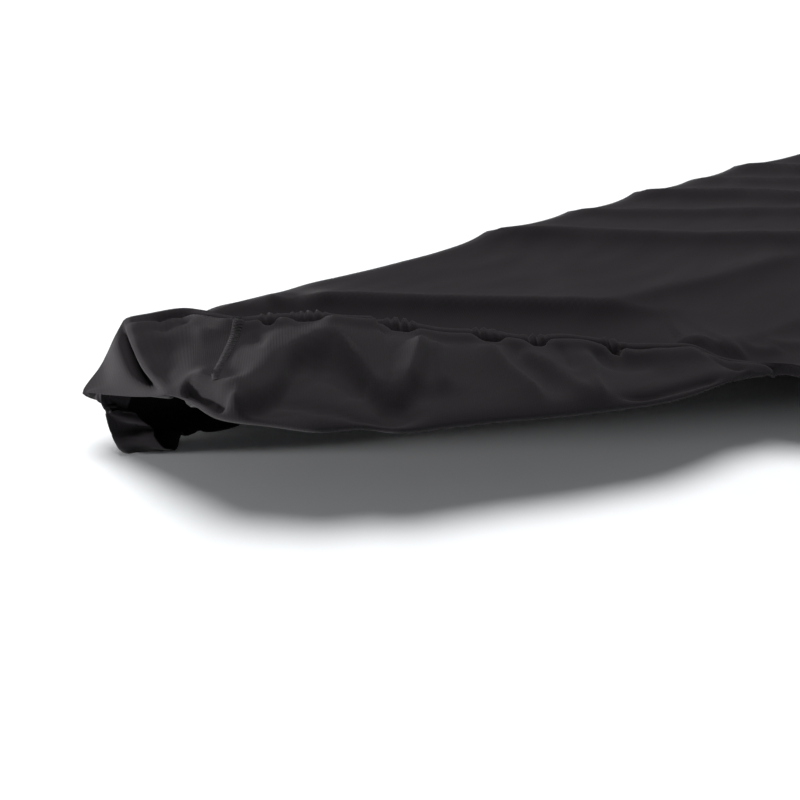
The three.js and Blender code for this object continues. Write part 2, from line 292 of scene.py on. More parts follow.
def hanging_section(from_left, from_front, out_left, out_front):
    top = top_height(from_front)
    drop = top - SKIRT_LOWEST
    edge = on_top(from_left - SHOULDER * out_left, from_front - SHOULDER * out_front)
    outline = [
        (from_left + row.out * out_left,
         from_front + row.out * out_front,
         top - row.drop_share * drop - row.below)
        for row in HANGING_ROWS
    ]
    return np.array([edge, *outline])


front_sections = [flap_section(row) for row in FLAP_ROWS]
front_sections += [runout_section(row) for row in RUNOUT_ROWS]
flap_count = len(front_sections)
front_sections += [hanging_section(left, 0, 0, -1) for left in HANGING_FRONT]
right_sections = [hanging_section(LENGTH, 0, CORNER_OUT, -CORNER_OUT)]
right_sections += [hanging_section(LENGTH, front, 1, 0) for front in HANGING_END]
back_sections = [hanging_section(LENGTH, DEPTH, CORNER_OUT, CORNER_OUT)]
back_sections += [hanging_section(left, DEPTH, 0, 1) for left in HANGING_BACK]
left_sections = [hanging_section(0, DEPTH, -CORNER_OUT, CORNER_OUT)]
left_sections += [left_section(row) for row in reversed(LEFT_ROWS)]
sections = np.array(front_sections + right_sections + back_sections + left_sections)
print(len(sections), "sections round the cover, counter-clockwise from the front left corner seam")

# %% [markdown]
# ## The grid of the skirt
# Stations are spread round the cover and points across each section, close together where the elastic
# gathers the cloth and near the hem. A grid of numbers like this could be a sculpted mesh instead, but
# then no fold could be moved by its size in millimetres.

# %% Stations round the cover
FLAP_STEPS = 280
PLAIN_STEPS = 110
FRONT_STEPS = FLAP_STEPS + PLAIN_STEPS
COLUMNS = FRONT_STEPS // 2
ROWS = 80
POUCH_ROWS = 34
POUCH_LOFT = 1
BACK_PLAIN_END = 540
SPAN_STEPS = [2, 3, 3, 4, 10, 7, 14]
RAIL_FINE = 12
FOLD_POINT, HEM_POINT = 3, 7


def spread(first, count, steps):
    """Stations spaced evenly over some sections, by the way round at the fold and at the hem."""
    fine = first + np.arange(count * RAIL_FINE + 1) / RAIL_FINE
    rails = curve_through(sections, fine, closed=True)
    travelled = lengths_along(rails[:, FOLD_POINT]) + lengths_along(rails[:, HEM_POINT])
    wanted = travelled[-1] * np.arange(steps) / steps
    return np.interp(wanted, travelled, fine)


# The back has half as many stations as the front. Both are closer together on the flap's length. At the
# left end the rows with next to no loft are the pouch under the tip.
right_start = len(front_sections)
back_start = right_start + len(right_sections)
left_start = back_start + len(back_sections)
back_plain = 1 + HANGING_BACK.index(BACK_PLAIN_END)
pouch_count = sum(row.loft < POUCH_LOFT for row in LEFT_ROWS)
stations = np.concatenate([
    spread(0, flap_count, FLAP_STEPS),
    spread(flap_count, len(front_sections) - flap_count, PLAIN_STEPS),
    spread(right_start, len(right_sections), ROWS),
    spread(back_start, back_plain, PLAIN_STEPS // 2),
    spread(back_start + back_plain, len(back_sections) - back_plain, FLAP_STEPS // 2),
    spread(left_start, pouch_count, POUCH_ROWS),
    spread(left_start + pouch_count, len(left_sections) - pouch_count, ROWS - POUCH_ROWS),
])
across_places = np.concatenate(
    [[0]] + [span + np.arange(1, steps + 1) / steps for span, steps in enumerate(SPAN_STEPS)])
rails = curve_through(sections, stations, closed=True)
rails[:, 0, 2] = top_height(rails[:, 0, 1])
skirt = curve_through(rails.swapaxes(0, 1), across_places).swapaxes(0, 1)
station_count, point_count = skirt.shape[:2]
print("the skirt has", station_count, "stations of", point_count, "points")

# %% [markdown]
# ## The top panel
# The panel between the skirt's four edges is a Coons patch: its inside is blended from its edges, which is
# how a flat panel takes the shape that is sewn round it. Its grid shares the skirt's stations, so that the
# two can be one cloth.

# %% Panel
# The panel's grid has a column for every second station of the front and one for each of the back.
right_ring = FRONT_STEPS
back_ring = right_ring + ROWS
left_ring = back_ring + COLUMNS
edge = np.concatenate([skirt[:, 0], skirt[:1, 0]])
front_edge = edge[:right_ring + 1:2]
right_edge = edge[right_ring:back_ring + 1]
back_edge = edge[back_ring:left_ring + 1][::-1]
left_edge = edge[left_ring:][::-1]
share_right = np.linspace(0, 1, COLUMNS + 1)[:, None, None]
share_back = np.linspace(0, 1, ROWS + 1)[None, :, None]
lengthwise = (1 - share_back) * front_edge[:, None] + share_back * back_edge[:, None]
crosswise = (1 - share_right) * left_edge[None] + share_right * right_edge[None]
corners = ((1 - share_right) * ((1 - share_back) * front_edge[0] + share_back * back_edge[0])
           + share_right * ((1 - share_back) * front_edge[-1] + share_back * back_edge[-1]))
panel = lengthwise + crosswise - corners
panel[..., 2] = top_height(panel[..., 1])
print("the panel has", COLUMNS, "columns and", ROWS, "rows of faces")

# %% [markdown]
# ## How a fold lifts the cloth
# Slack knit falls into long soft folds that run from one held place to another, steep on one side and
# gentle on the other. A fold is a path with a rise, the width of its right and left sides, a crest that is
# the rounder the larger it is, and the share of its length over which it fades. A rise below nought is a
# hollow. Cloth simulation makes such folds too, but not these ones in these places.

# %% The shape of a fold
FOLD_FADE = 0.22
Fold = namedtuple("Fold", "path rise right_width left_width crest fade", defaults=[FOLD_FADE])
FOLD_SAMPLES = 60
SIDE_BLEND = 0.5


def smooth(low, high, value):
    """A soft step from 0 at the low value to 1 at the high one."""
    share = np.clip((value - low) / (high - low), 0, 1)
    return share * share * (3 - 2 * share)


def fold_rise(folds, points):
    """Height that a set of folds adds at each point, in millimetres."""
    places = points.reshape(-1, points.shape[-1])[:, :2]
    total = np.zeros(len(places))
    for fold in folds:
        path = curve_through(fold.path, np.linspace(0, len(fold.path) - 1, FOLD_SAMPLES))
        heading = np.gradient(path, axis=0)
        spacing = np.linalg.norm(heading, axis=1)
        heading /= spacing[:, None]
        offset = places[:, None] - path
        nearest = np.argmin((offset ** 2).sum(2), axis=1)
        offset = offset[np.arange(len(places)), nearest]
        heading, spacing = heading[nearest], spacing[nearest]
        to_left = heading[:, 0] * offset[:, 1] - heading[:, 1] * offset[:, 0]
        ahead = (heading * offset).sum(1)
        distance = np.hypot(to_left, np.maximum(np.abs(ahead) - spacing, 0))
        left_share = smooth(-SIDE_BLEND, SIDE_BLEND, to_left / (distance + 1))
        width = fold.right_width + left_share * (fold.left_width - fold.right_width)
        along = (nearest + np.clip(ahead / spacing, -1, 1)) / (FOLD_SAMPLES - 1)
        ends = smooth(0, fold.fade, along) * smooth(0, fold.fade, 1 - along)
        total += fold.rise * ends * np.exp((fold.crest - np.hypot(distance, fold.crest)) / width)
    return total.reshape(points.shape[:-1])


print("a fold fades over", FOLD_FADE, "of its length at each end unless its row gives another share")

# %% [markdown]
# ## Folds placed one by one
# On the top, long folds run from the back edge forward to the right, two shallow ones run lengthwise, and
# short ones cross where the flap runs out. On the flap, a ridge like a W stands over hollows, short folds
# run from the hem to the fold, and a groove follows the fold's right half. Beside the corner seam the cloth
# dips into a deep narrow pocket.

# %% Tables of folds
PANEL_FOLDS = [
    Fold([(40, 300), (84, 284), (130, 262)], 7, 7, 14, 4),
    Fold([(84, 286), (123, 263), (159, 245), (198, 221), (231, 201), (264, 182), (298, 162),
          (336, 141), (420, 104)], 15, 7, 34, 1.8),
    Fold([(240, 334), (280, 313), (318, 293), (356, 273), (385, 258), (423, 232), (461, 208),
          (490, 189), (522, 173), (566, 150), (640, 118)], 11, 8, 30, 1.4, 0.1),
    Fold([(350, 326), (395, 302), (440, 276), (476, 257), (519, 234), (566, 213), (607, 194),
          (680, 160)], 6, 7, 20, 1.4, 0.1),
    Fold([(410, 338), (470, 304), (522, 275), (558, 256), (592, 239), (635, 210), (720, 168)],
         9.5, 7, 22, 1.4, 0.1),
    Fold([(500, 332), (540, 308), (577, 284), (640, 250), (700, 220)], 5, 7, 16, 1.4, 0.15),
    Fold([(550, 334), (610, 300), (657, 273), (686, 255), (770, 212)], 9, 8, 24, 1.4, 0.1),
    Fold([(660, 338), (720, 306), (790, 270), (860, 232)], 6, 9, 24, 1.6, 0.15),
    Fold([(290, 146), (332, 142), (361, 142), (400, 142), (455, 137), (513, 134), (548, 131),
          (800, 124)], 7, 9, 40, 3),
    Fold([(380, 62), (397, 61), (424, 60), (469, 60), (600, 56), (780, 58)], 4, 8, 26, 2, 0.1),
    Fold([(352, 86), (360, 78), (368, 77), (375, 73), (380, 62), (387, 50), (395, 40)],
         8, 3, 18, 1, 0.2),
    Fold([(396, 56), (410, 46), (428, 40)], 3, 4, 5, 1.5),
    Fold([(420, 54), (432, 44), (452, 36)], 3, 4, 6, 1.5),
]
FLAP_FOLDS = [
    Fold([(18, 150), (32, 153), (45, 154), (55, 158), (67, 167), (77, 180), (88, 188), (100, 191),
          (112, 192), (124, 191), (126, 169), (123, 145), (122, 125), (125, 118), (133, 115),
          (147, 124), (161, 138), (186, 168)], 9.5, 5, 40, 1.2, 0.04),
    Fold([(28, 158), (40, 166), (54, 179), (66, 185), (84, 192)], 3, 12, 16, 4),
    Fold([(24, 150), (32, 147), (45, 147), (56, 151), (70, 162), (84, 176), (97, 177), (108, 172),
          (113, 155), (112, 128), (113, 106), (124, 104), (138, 107)], -7, 9, 7, 3, 0.12),
    Fold([(45, 152), (55, 147), (66, 137), (75, 127), (87, 117), (94, 108), (109, 99), (129, 93),
          (146, 88)], -3, 4, 3, 1),
    Fold([(110, 114), (122, 105), (136, 106), (150, 116)], -4, 9, 6, 3),
    Fold([(88, 172), (98, 160), (106, 144), (110, 126)], -5, 9, 9, 4),
    Fold([(187, 167), (168, 150), (150, 130), (136, 114)], 3, 7, 8, 2.5),
    Fold([(186, 156), (172, 126), (156, 100)], 7, 6, 8, 1.5),
    Fold([(224, 138), (217, 126), (214, 110), (214, 91), (215, 78), (210, 56)], 8.5, 14, 6, 1.4),
    Fold([(236, 130), (233, 106), (232, 85), (218, 58)], -3, 7, 7, 3),
    Fold([(232, 120), (237, 112), (243, 98), (244, 80), (244, 59), (252, 40)], 6, 6, 9, 2.5),
    Fold([(270, 118), (262, 99), (255, 80)], -3, 4, 4, 1.5),
    Fold([(286, 106), (272, 81), (259, 61), (250, 38)], 6.5, 10, 6, 1.2),
    Fold([(298, 106), (289, 86), (303, 74), (330, 71)], -7, 8, 8, 4),
    Fold([(258, 47), (288, 37), (314, 34), (337, 31), (356, 28)], -8, 3.5, 2.5, 1),
    Fold([(352, 66), (361, 58), (363, 51), (366, 41), (369, 33), (375, 26)], -6, 2, 2.5, 1),
    Fold([(20, 262), (14, 237), (12, 218), (13, 196)], -3, 12, 14, 5),
    Fold([(36, 248), (55, 245), (80, 250)], 3, 7, 9, 3),
    Fold([(73, 226), (74, 216), (78, 208)], -3, 4, 4, 2),
    Fold([(31, 297), (29, 281), (24, 266)], -5, 4, 5, 2),
    Fold([(46, 293), (43, 280), (42, 266)], -4, 4, 5, 2),
]
SEAM_POCKET = [
    Fold([(7, 195), (11, 189), (15, 181), (18, 172), (20, 163), (22, 155)], -15, 4, 2.5, 1.5, 0.12),
    Fold([(12, 200), (20, 192), (24, 182), (26, 172), (28, 162)], 2, 4, 12, 2),
]
print(len(PANEL_FOLDS), "folds on the panel,", len(FLAP_FOLDS), "on the flap")

# %% [markdown]
# ## Folds into the cloth
# The folds only lift or lower the cloth. Those of the top fade out over the first points of the skirt, and
# those of the flap start past its fold, so that neither layer moves the other. No hollow of the flap sinks
# into the top. The pocket may go deeper, because it lies past the top's edge. Small waves over all of it
# keep the slack cloth from looking ironed.

# %% Lay the folds into the grid
FADE_STEPS = 6
FOLD_STEP = 8
FLAP_STEP = 13
FLAP_GAP = 3.0
SLACK_RISE = 0.6
SLACK_LENGTH, SLACK_LENGTH_SLANT = 55, 40
SLACK_WIDTH, SLACK_WIDTH_SLANT = 16, 60
SLACK_LAYER = 0.7


def slack(points):
    """Small waves, longer along the cover than across it, because the cloth is pulled lengthwise."""
    waves = [
        noise.noise((
            left / SLACK_LENGTH + front / SLACK_LENGTH_SLANT,
            front / SLACK_WIDTH - left / SLACK_WIDTH_SLANT,
            SLACK_LAYER,
        ))
        for left, front in points.reshape(-1, points.shape[-1])[:, :2]
    ]
    return np.array(waves).reshape(points.shape[:-1])


point_numbers = np.arange(point_count)
station_numbers = np.arange(station_count)[:, None]
on_front = station_numbers < FLAP_STEPS
turned = on_front | (station_numbers >= left_ring + POUCH_ROWS)
panel_share = 1 - smooth(0, FADE_STEPS, point_numbers)
flap_share = turned * smooth(FOLD_STEP, FLAP_STEP, point_numbers)
panel[..., 2] += fold_rise(PANEL_FOLDS, panel)
lowest = np.minimum(skirt[..., 2], top_height(skirt[..., 1]) + FLAP_GAP)
skirt[..., 2] += panel_share * fold_rise(PANEL_FOLDS, skirt)
skirt[..., 2] = np.maximum(lowest, skirt[..., 2] + flap_share * fold_rise(FLAP_FOLDS, skirt))
skirt[..., 2] += flap_share * fold_rise(SEAM_POCKET, skirt)
panel[1:-1, 1:-1, 2] += SLACK_RISE * slack(panel[1:-1, 1:-1])
skirt[..., 2] += SLACK_RISE * np.maximum(panel_share, flap_share) * slack(skirt)
print("highest point of the cloth, mm:", skirt[..., 2].max().round(1))

# %% [markdown]
# ## The elastic hem
# The hem is turned over a flat elastic. Where the elastic is slack the cloth bunches into small tucks at
# uneven steps. Each bunch is a place along the hem with a length, and chance shifts its tucks, from a fixed
# seed so that every run makes the same cloth.

# %% Where the hem bunches
TUCK_PITCH = 6.5
TUCK_WANDER = 0.8
CHANCE_SEED = 5
Bunch = namedtuple("Bunch", "hem_left half_length")
BUNCHES = [Bunch(100, 6), Bunch(125, 13), Bunch(184, 12), Bunch(234, 11), Bunch(260, 8), Bunch(307, 6)]

hem = skirt[:, -1]
hem_along = lengths_along(np.concatenate([hem, hem[:1]]))[:-1]
steps_in = np.linalg.norm(np.diff(skirt[:, ::-1], axis=1), axis=2)
from_hem = np.concatenate([np.zeros((station_count, 1)), np.cumsum(steps_in, axis=1)], axis=1)[:, ::-1]
chance = np.random.default_rng(CHANCE_SEED)
gathered = np.zeros(station_count)
tucks = np.zeros(station_count)
for bunch in BUNCHES:
    centre = hem_along[np.argmin(np.abs(hem[:FLAP_STEPS, 0] - bunch.hem_left))]
    offset = hem_along - centre
    near = np.exp(-(offset / bunch.half_length) ** 4)
    shift = chance.uniform(0, TUCK_PITCH)
    gathered = np.maximum(gathered, near)
    wander = TUCK_WANDER * np.sin(offset)
    tucks += near * np.abs(np.cos(np.pi * (offset + shift + wander) / TUCK_PITCH))
print("hem is", round(hem_along[-1]), "mm round, with", len(BUNCHES), "bunches of tucks on the flap")

# %% [markdown]
# ## The sunk stitch line
# The elastic is stitched in six to nine millimetres from the edge and draws the cloth in. So the stitch line
# sinks into a groove, and the cloth puffs up before it. In a bunch the groove is deeper, lies further in and
# has no puff, and the tucks stand up in the band outside it.

# %% Gather the hem
BAND_WIDTHS = (9, 6)
BAND_SPAN = (78, 390)
BAND_EXTRA = 6
BAND_STEADY = 0.6
GROOVE_DEPTH = 6.5
GROOVE_EXTRA = 4
GROOVE_WIDTH = 1.6
PUFF_RISE = 4
PUFF_AWAY = 9
PUFF_WIDTH = 7
TUCK_DEPTH = 5.5
TUCK_REACH = 8
SEAM_FADE = (4, 24)
past_seam = station_count - station_numbers
hem_share = np.where(on_front, 1, 1 - smooth(*SEAM_FADE, past_seam))
band_width = np.interp(hem[:, 0], BAND_SPAN, BAND_WIDTHS)
band_extra = BAND_EXTRA * gathered * (BAND_STEADY + (1 - BAND_STEADY) * tucks)
stitch_line = (band_width + band_extra)[:, None]
past_stitch = from_hem - stitch_line
groove_width = GROOVE_WIDTH * (1 + gathered)[:, None]
groove_depth = (GROOVE_DEPTH + GROOVE_EXTRA * gathered)[:, None]
groove = -groove_depth * np.exp(-(past_stitch / groove_width) ** 2)
puff_rise = PUFF_RISE * (1 - gathered)[:, None]
puff = puff_rise * np.exp(-((past_stitch - PUFF_AWAY) / PUFF_WIDTH) ** 2)
in_band = 1 - smooth(0, TUCK_REACH, past_stitch)
gathers = groove + puff + TUCK_DEPTH * in_band * (tucks - gathered / 2)[:, None]
skirt[..., 2] += flap_share * hem_share * gathers
print("stitch line lies", stitch_line.min().round(1), "to", stitch_line.max().round(1), "mm from the hem")

# %% [markdown]
# ## The hem that still hangs
# Where the cover is still on, its elastic is underneath and pulls the skirt into loose pleats, at uneven
# steps and of uneven length. Under the left tip the hem hangs in a loose pouch, so its pleats are deeper and
# its edge ruffles. Cloth that would hang lower than the floor lies on it.

# %% Gather the hem that still hangs
HANGING_PITCH = 26
HANGING_DEPTH = 2.5
POUCH_DEPTH = 6
PLEAT_SHIFT = 0.35
PLEAT_REACH = (28, 55)
PLEAT_FULL = 0.2
PLEAT_WIDTH = 3
PLEAT_SPREAD = 0.12
RUFFLE_PITCH = 14
RUFFLE_DEPTH = 2.4
RUFFLE_WANDER = 0.8
RUFFLE_DRIFT = 7
RUFFLE_REACH = (4, 26)
TIP_FADE = (2, 9)
LOWEST = -7
hanging = ~turned[:, 0]
in_pouch = ((station_numbers >= left_ring) & ~turned)[:, 0]
along_ring = np.roll(skirt, -1, axis=0) - np.roll(skirt, 1, axis=0)
outward = np.cross(np.gradient(skirt, axis=1), along_ring)
outward /= np.maximum(np.linalg.norm(outward, axis=2, keepdims=True), TINY)
pleat_places = np.arange(0, hem_along[-1], HANGING_PITCH)
pleat_places += chance.uniform(-PLEAT_SHIFT, PLEAT_SHIFT, len(pleat_places)) * HANGING_PITCH
pleat_reaches = chance.uniform(*PLEAT_REACH, len(pleat_places))
pleat_depth = (np.where(in_pouch, POUCH_DEPTH, HANGING_DEPTH) * hanging)[:, None]
for place, reach in zip(pleat_places, pleat_reaches):
    sideways = (hem_along[:, None] - place) / (PLEAT_WIDTH + PLEAT_SPREAD * from_hem)
    shape = np.exp(-sideways ** 2) * (1 - smooth(PLEAT_FULL * reach, reach, from_hem))
    skirt -= (pleat_depth * shape)[..., None] * outward
to_tip = left_ring + POUCH_ROWS - station_numbers[:, 0]
swing = 2 * np.pi * hem_along / RUFFLE_PITCH + RUFFLE_WANDER * np.sin(hem_along / RUFFLE_DRIFT)
ruffle = (np.sin(swing) * in_pouch * smooth(*TIP_FADE, to_tip))[:, None]
near_hem = 1 - smooth(*RUFFLE_REACH, from_hem)
skirt += (RUFFLE_DEPTH * ruffle * near_hem)[..., None] * outward
skirt[..., 2] = np.maximum(skirt[..., 2], LOWEST)
print(len(pleat_places), "loose pleats round the hem")

# %% [markdown]
# ## From grid to faces
# Panel and skirt become one mesh, because the cover is one cut of cloth. They share the points along the
# panel's edge, so no gap can open there. Two meshes could be welded by distance, but then the flap might be
# welded to the cloth under it as well.

# %% Corners of the faces
panel_start = station_count * point_count


def ring_index(station, point):
    """The vertex at a point of a station of the skirt."""
    return (station % station_count) * point_count + point


def panel_index(column, row):
    """The vertex at a corner of the panel's grid. Its border is the first point of each station."""
    if row == 0:
        return ring_index(2 * column, 0)
    if column == COLUMNS:
        return ring_index(right_ring + row, 0)
    if row == ROWS:
        return ring_index(left_ring - column, 0)
    if column == 0:
        return ring_index(station_count - row, 0)
    return panel_start + (column - 1) * (ROWS - 1) + row - 1


def panel_face(column, row):
    """One face of the panel. Along the front it takes in the station between its corners."""
    around = [(column, row), (column + 1, row), (column + 1, row + 1), (column, row + 1)]
    face = [panel_index(*corner) for corner in around]
    return face if row else [face[0], ring_index(2 * column + 1, 0), *face[1:]]


vertices = np.concatenate([skirt.reshape(-1, 3), panel[1:-1, 1:-1].reshape(-1, 3)])
faces = [panel_face(column, row) for column in range(COLUMNS) for row in range(ROWS)]
faces += [
    [ring_index(s, p), ring_index(s, p + 1), ring_index(s + 1, p + 1), ring_index(s + 1, p)]
    for s in range(station_count) for p in range(point_count - 1)
]
print(len(vertices), "points and", len(faces), "faces")

# %% [markdown]
# ## The cloth
# The mesh is a single layer, which is easy to map, and a Solidify modifier gives it the thickness of a knit.
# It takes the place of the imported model's cloth, which is thicker and has only the main folds.

# %% Build the cloth
CLOTH_THICKNESS = 0.0009


def smooth_mesh(name, points, corner_lists):
    """A mesh of places in millimetres that is shaded smooth."""
    made = bpy.data.meshes.new(name)
    made.from_pydata(to_frame(points).tolist(), [], corner_lists)
    made.polygons.foreach_set("use_smooth", [True] * len(corner_lists))
    return made


mesh = smooth_mesh("cover_sheet", vertices, faces)
cover = bpy.data.objects.new("cover_sheet", mesh)
bpy.context.collection.objects.link(cover)
solidify = cover.modifiers.new("knit thickness", "SOLIDIFY")
solidify.thickness = CLOTH_THICKNESS
solidify.offset = 0
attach(cover, "root")
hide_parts("cover_cloth")
areas = np.zeros(len(faces))
mesh.polygons.foreach_get("area", areas)
print("cloth area, square metres:", round(areas.sum(), 3))

# %% [markdown]
# ## The sewing
# Sewing thread is round and thin, so each run of it is a tube along a path that lies on the cloth. A curve
# object with a bevel would do as well, but a plain mesh needs no conversion.

# %% Threads as tubes
THREAD_RADIUS = 0.32
THREAD_SIDES = 5
NEARLY_UP = (0.1, 0.2, 1)


def tube_mesh(name, paths):
    """Round threads along paths of places in millimetres, as one mesh."""
    tube_points, tube_faces = [], []
    angles = 2 * np.pi * np.arange(THREAD_SIDES) / THREAD_SIDES
    for path in paths:
        path = np.asarray(path, float)
        along = np.gradient(path, axis=0)
        along /= np.linalg.norm(along, axis=1, keepdims=True)
        side = np.cross(along, NEARLY_UP)
        side /= np.linalg.norm(side, axis=1, keepdims=True)
        over = np.cross(side, along)
        start = len(tube_points)
        for point, across, upward in zip(path, side, over):
            tube_points += [
                point + THREAD_RADIUS * (np.cos(a) * across + np.sin(a) * upward) for a in angles
            ]
        for ring in range(start, start + (len(path) - 1) * THREAD_SIDES, THREAD_SIDES):
            for corner in range(THREAD_SIDES):
                here, there = ring + corner, ring + (corner + 1) % THREAD_SIDES
                tube_faces.append([here, there, there + THREAD_SIDES, here + THREAD_SIDES])
    return smooth_mesh(name, tube_points, tube_faces)


def add_piece(name, piece_mesh):
    """A piece of sewing that moves with the cover."""
    piece = bpy.data.objects.new(name, piece_mesh)
    bpy.context.collection.objects.link(piece)
    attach(piece, "root")
    return piece


print("a thread is", 2 * THREAD_RADIUS, "mm thick and has", THREAD_SIDES, "sides")

# %% [markdown]
# ## The corner seam
# At the turned-back corner the inside of the seam shows: two raw edges, laid to one side and sewn together.
# They are made as a low strip along a path that is dropped on to the cloth from overhead, so that it follows
# every fold it crosses.

# %% Seam strip
SEAM_PATH = [(78, 256), (74, 245), (66, 234), (55, 221), (45, 210), (35, 198), (29, 189), (25, 180)]
SEAM_STEPS = 120
SEAM_WIDTHS = (9, 5)
STRIP_OFFSETS = [-0.5, -0.45, -0.2, 0.2, 0.45, 0.5]
STRIP_HEIGHTS = [0, 0.7, 0.9, 0.9, 0.7, 0]
OVERHEAD = 200
surface = BVHTree.FromPolygons(vertices.tolist(), faces)


def on_cloth(places, above):
    """Places dropped on to the cloth from overhead."""
    hits = [surface.ray_cast((left, front, OVERHEAD), (0, 0, -1))[0] for left, front in places]
    return np.array(hits) + [0, 0, above]


seam_line = even_points(SEAM_PATH, SEAM_STEPS)
seam_along = lengths_along(seam_line)
seam_heading = np.gradient(seam_line, axis=0)
seam_heading /= np.linalg.norm(seam_heading, axis=1, keepdims=True)
seam_side = np.stack([seam_heading[:, 1], -seam_heading[:, 0]], axis=1)
seam_width = np.linspace(*SEAM_WIDTHS, SEAM_STEPS)[:, None]
strip = np.stack([
    on_cloth(seam_line + offset * seam_width * seam_side, height)
    for offset, height in zip(STRIP_OFFSETS, STRIP_HEIGHTS)
], axis=1)
strip_lines = len(STRIP_OFFSETS)
strip_faces = [
    [corner, corner + 1, corner + strip_lines + 1, corner + strip_lines]
    for start in range(0, (SEAM_STEPS - 1) * strip_lines, strip_lines)
    for corner in range(start, start + strip_lines - 1)
]
strip_mesh = smooth_mesh("seam_allowance", strip.reshape(-1, 3), strip_faces)
strip_piece = add_piece("seam_allowance", strip_mesh)
print("the seam shows for", round(seam_along[-1]), "mm")

# %% [markdown]
# ## The overlock
# An overlock machine wraps thread round the raw edges in a close zigzag. It is one tube: each stitch starts
# at the strip's free edge, goes over the strip and comes back a little further on.

# %% Overlock thread
OVERLOCK_PITCH = 2.4
OVERLOCK_LOOP = [(-0.52, 0), (-0.3, 0.2), (0.05, 0.35), (0.4, 0.5), (0.05, 0.65), (-0.3, 0.8)]
LIFT_AT_EDGE, LIFT_OVER_STRIP = 0.3, 1
zigzag = []
for stitch in np.arange(0, seam_along[-1] - OVERLOCK_PITCH, OVERLOCK_PITCH):
    for offset, ahead in OVERLOCK_LOOP:
        place = stitch + ahead * OVERLOCK_PITCH
        centre = [np.interp(place, seam_along, seam_line[:, axis]) for axis in (0, 1)]
        aside = [np.interp(place, seam_along, (seam_width * seam_side)[:, axis]) for axis in (0, 1)]
        lift = LIFT_AT_EDGE if offset < STRIP_OFFSETS[0] else LIFT_OVER_STRIP
        zigzag.append(on_cloth([np.array(centre) + offset * np.array(aside)], lift)[0])
overlock = add_piece("overlock_thread", tube_mesh("overlock_thread", [zigzag]))
print(len(zigzag) // len(OVERLOCK_LOOP), "overlock stitches")

# %% [markdown]
# ## The hem's stitches
# A row of lockstitches holds the elastic in. They look the same on both sides of the cloth: each one is a
# short straight length of thread that dips into the cloth at both ends. They are made on the side that
# shows, which is above on the flap and below where the hem is tucked under.

# %% Hem stitches
STITCH_PITCH = 3.4
STITCH_LENGTH = 2.6
STITCH_LIFT = 0.6
STITCH_PLACES = np.array([0, 0.2, 0.8, 1])
STITCH_DIPS = [(0, 0, 0.5), (0, 0, 0), (0, 0, 0), (0, 0, 0.5)]
stitched = np.empty((station_count + 1, 3))
for number in range(station_count):
    inward, section = from_hem[number, ::-1], skirt[number, ::-1]
    stitched[number] = [np.interp(stitch_line[number, 0], inward, section[:, axis]) for axis in range(3)]
    stitched[number, 2] += STITCH_LIFT if on_front[number, 0] else -STITCH_LIFT
stitched[-1] = stitched[0]
stitched_along = lengths_along(stitched)
stitches = []
for start in np.arange(0, stitched_along[-1] - STITCH_LENGTH, STITCH_PITCH):
    places = start + STITCH_LENGTH * STITCH_PLACES
    points = [np.interp(places, stitched_along, stitched[:, axis]) for axis in range(3)]
    stitches.append(np.stack(points, axis=1) - STITCH_DIPS)
hem_thread = add_piece("hem_stitch_thread", tube_mesh("hem_stitch_thread", stitches))
print(len(stitches), "hem stitches")

# %% [markdown]
# ## Materials
# Each material starts as a Principled shader, whose sockets take a value or a link from a pattern. Colours
# are written as on a screen, and shaders need them linear, so one function turns them. A photograph of cloth
# could be laid on instead, but a pattern made of nodes stays sharp and keeps its size in millimetres.

# %% Colours and nodes
def linear(hex_colour):
    """An sRGB hex colour as the linear colour that shaders use."""
    channels = [int(hex_colour[i:i + 2], 16) / 255 for i in (1, 3, 5)]
    return [c / 12.92 if c <= 0.04045 else ((c + 0.055) / 1.055) ** 2.4 for c in channels] + [1]


def add_node(material, kind, inputs, **settings):
    """A shader node with its settings, and a value or a link for each named input."""
    made = material.node_tree.nodes.new(kind)
    for name, value in settings.items():
        setattr(made, name, value)
    for name, value in inputs.items():
        if isinstance(value, bpy.types.NodeSocket):
            material.node_tree.links.new(value, made.inputs[name])
        else:
            made.inputs[name].default_value = value
    return made


def new_material(name):
    """A new material and its Principled shader."""
    material = bpy.data.materials.new(name)
    material.use_nodes = True
    return material, material.node_tree.nodes["Principled BSDF"]


print("mid grey of a screen is", round(linear("#808080")[0], 3), "when linear")

# %% [markdown]
# ## The knit
# Dust covers of this kind are warp-knitted polyester with some elastane, dyed black. The loops scatter
# light, so the cloth is matt and a little soft at grazing angles, and the dye never takes quite evenly. Two
# crossed wave patterns make the ribs and courses of loops. They bump the surface and also paint shade into
# the valleys between loops and light on to their crests. One noise makes the dye.

# %% Knit
# Knitted and dyed polyester: fine ribs of loops, matt, with a soft bloom where the surface turns away.
# The real ribs are 0.7 mm apart and the courses across them 0.5 mm. They are drawn 1.6 and 1.2 mm apart, as
# finer ones don't show at this distance. The dye varies over patches of about 35 mm.
RIB_PITCH = 0.0016
COURSE_PITCH = 0.0012
DYE_PATCH = 0.035
# A wave pattern of scale 1 repeats over this length.
BAND_PERIOD = 2 * np.pi / 20
